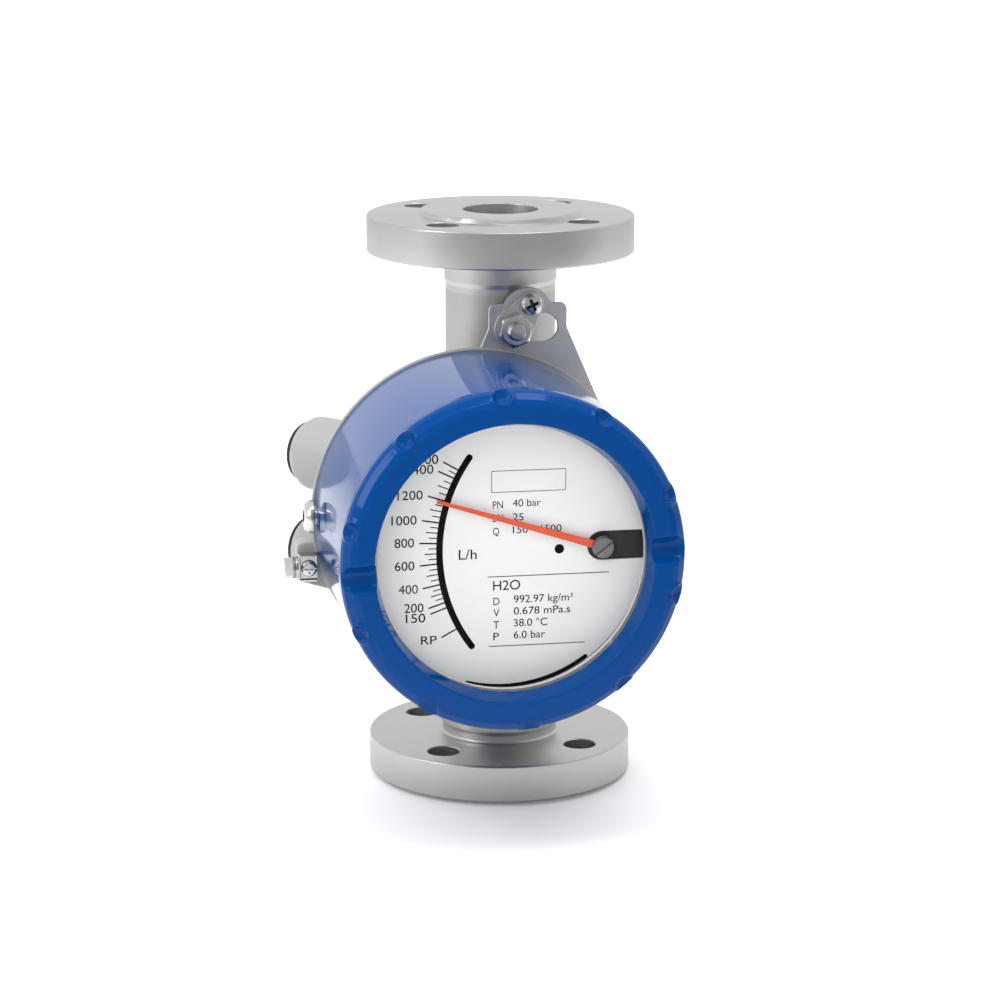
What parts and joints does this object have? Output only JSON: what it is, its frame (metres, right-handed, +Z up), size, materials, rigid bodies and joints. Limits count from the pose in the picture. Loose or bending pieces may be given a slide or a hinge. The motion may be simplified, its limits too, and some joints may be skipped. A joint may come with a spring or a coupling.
{
  "type": "metal-tube rotameter",
  "caption": "Metal-tube flow meter with flanged ends, a magnetic float in the tube and a round screw-covered dial head on its side.",
  "frame": {"origin": "centre of the lower flange's sealing face, on the flow axis", "axes": "+Z up the flow axis, -Y out of the dial towards the viewer, +X to the viewer's right"},
  "size_m": [0.1566, 0.1845, 0.25],
  "materials": {
    "satin_steel": "satin turned stainless steel, faint lathe lines",
    "bracket_steel": "satin stainless sheet",
    "bright_steel": "bright machined stainless steel",
    "spring_steel": "dull spring steel",
    "float_steel": "fine turned stainless steel",
    "magnet": "dark sintered magnet",
    "grey_coat": "light grey powder coat on die-cast aluminium",
    "blue_coat": "gloss blue powder coat on die-cast aluminium",
    "black_plastic": "black moulded plastic",
    "dark_plastic": "dark grey moulded plastic",
    "rubber_black": "black nitrile rubber",
    "window_glass": "clear safety glass",
    "dial_white": "white printed aluminium sheet",
    "pointer_red": "matt orange-red paint on aluminium",
    "hub_grey": "mid grey anodised aluminium",
    "sheet_aluminium": "plain aluminium sheet",
    "bearing_brass": "turned brass"
  },
  "bodies": {
    "meter": {"inlet_flange": "satin_steel", "outlet_flange": "satin_steel", "metering_tube": "satin_steel", "lower_guide_star": "satin_steel", "upper_guide_star": "satin_steel", "snap_rings": "spring_steel", "guide_rod": "bright_steel", "rod_nuts": "bright_steel", "lower_stop_sleeve": "satin_steel", "upper_stop_sleeve": "satin_steel", "tube_studs": "bright_steel", "mounting_bracket": "bracket_steel", "tab_washers": "bracket_steel", "stud_nuts": "bright_steel", "tab_screws": "bright_steel", "bracket_screws": "bright_steel", "housing_base": "grey_coat", "upper_blind_plug": "black_plastic", "lower_blind_plug": "black_plastic", "plug_seals": "rubber_black", "cover_seal": "rubber_black", "earth_clamp": "bright_steel", "earth_block": "bright_steel", "earth_screw": "bright_steel", "earth_washer": "bright_steel", "earth_spring_washer": "spring_steel", "earth_bolt": "bright_steel", "dial_plate": "dial_white", "dial_holder": "dark_plastic", "holder_pillars": "bright_steel", "bearing_bracket": "sheet_aluminium", "strap_screws": "bright_steel", "front_bearing": "bearing_brass", "rear_bearing": "bearing_brass", "brake_magnet": "magnet"},
    "float": {"float_body": "float_steel", "float_magnet": "magnet", "float_cap": "float_steel"},
    "pointer": {"pointer_shaft": "bright_steel", "pointer": "pointer_red", "pointer_hub": "hub_grey", "pointer_collar": "bearing_brass", "follower_arm": "sheet_aluminium", "follower_magnet": "magnet", "counterweight": "bearing_brass", "brake_disc": "sheet_aluminium"},
    "cover": {"cover": "blue_coat", "window_seal": "rubber_black", "window_glass": "window_glass", "window_retainer": "black_plastic", "cover_lock_screw": "bright_steel"}
  },
  "joints": [
    {"name": "float_slide", "type": "slide", "parent": "meter", "child": "float", "axis": [0, 0, 1], "range_m": [-0.0383, 0.0117]},
    {"name": "pointer_turn", "type": "hinge", "parent": "meter", "child": "pointer", "pos_m": [0.0237, -0.07, 0.125], "axis": [0, 1, 0], "range_deg": [-46, 14.1]},
    {"name": "cover_off", "type": "slide", "parent": "meter", "child": "cover", "axis": [0, -1, 0], "range_m": [0, 0.11]}
  ],
  "couplings": [
    {"joint": "pointer_turn", "follows": "float_slide", "rad_per_m": 20.944}
  ]
}
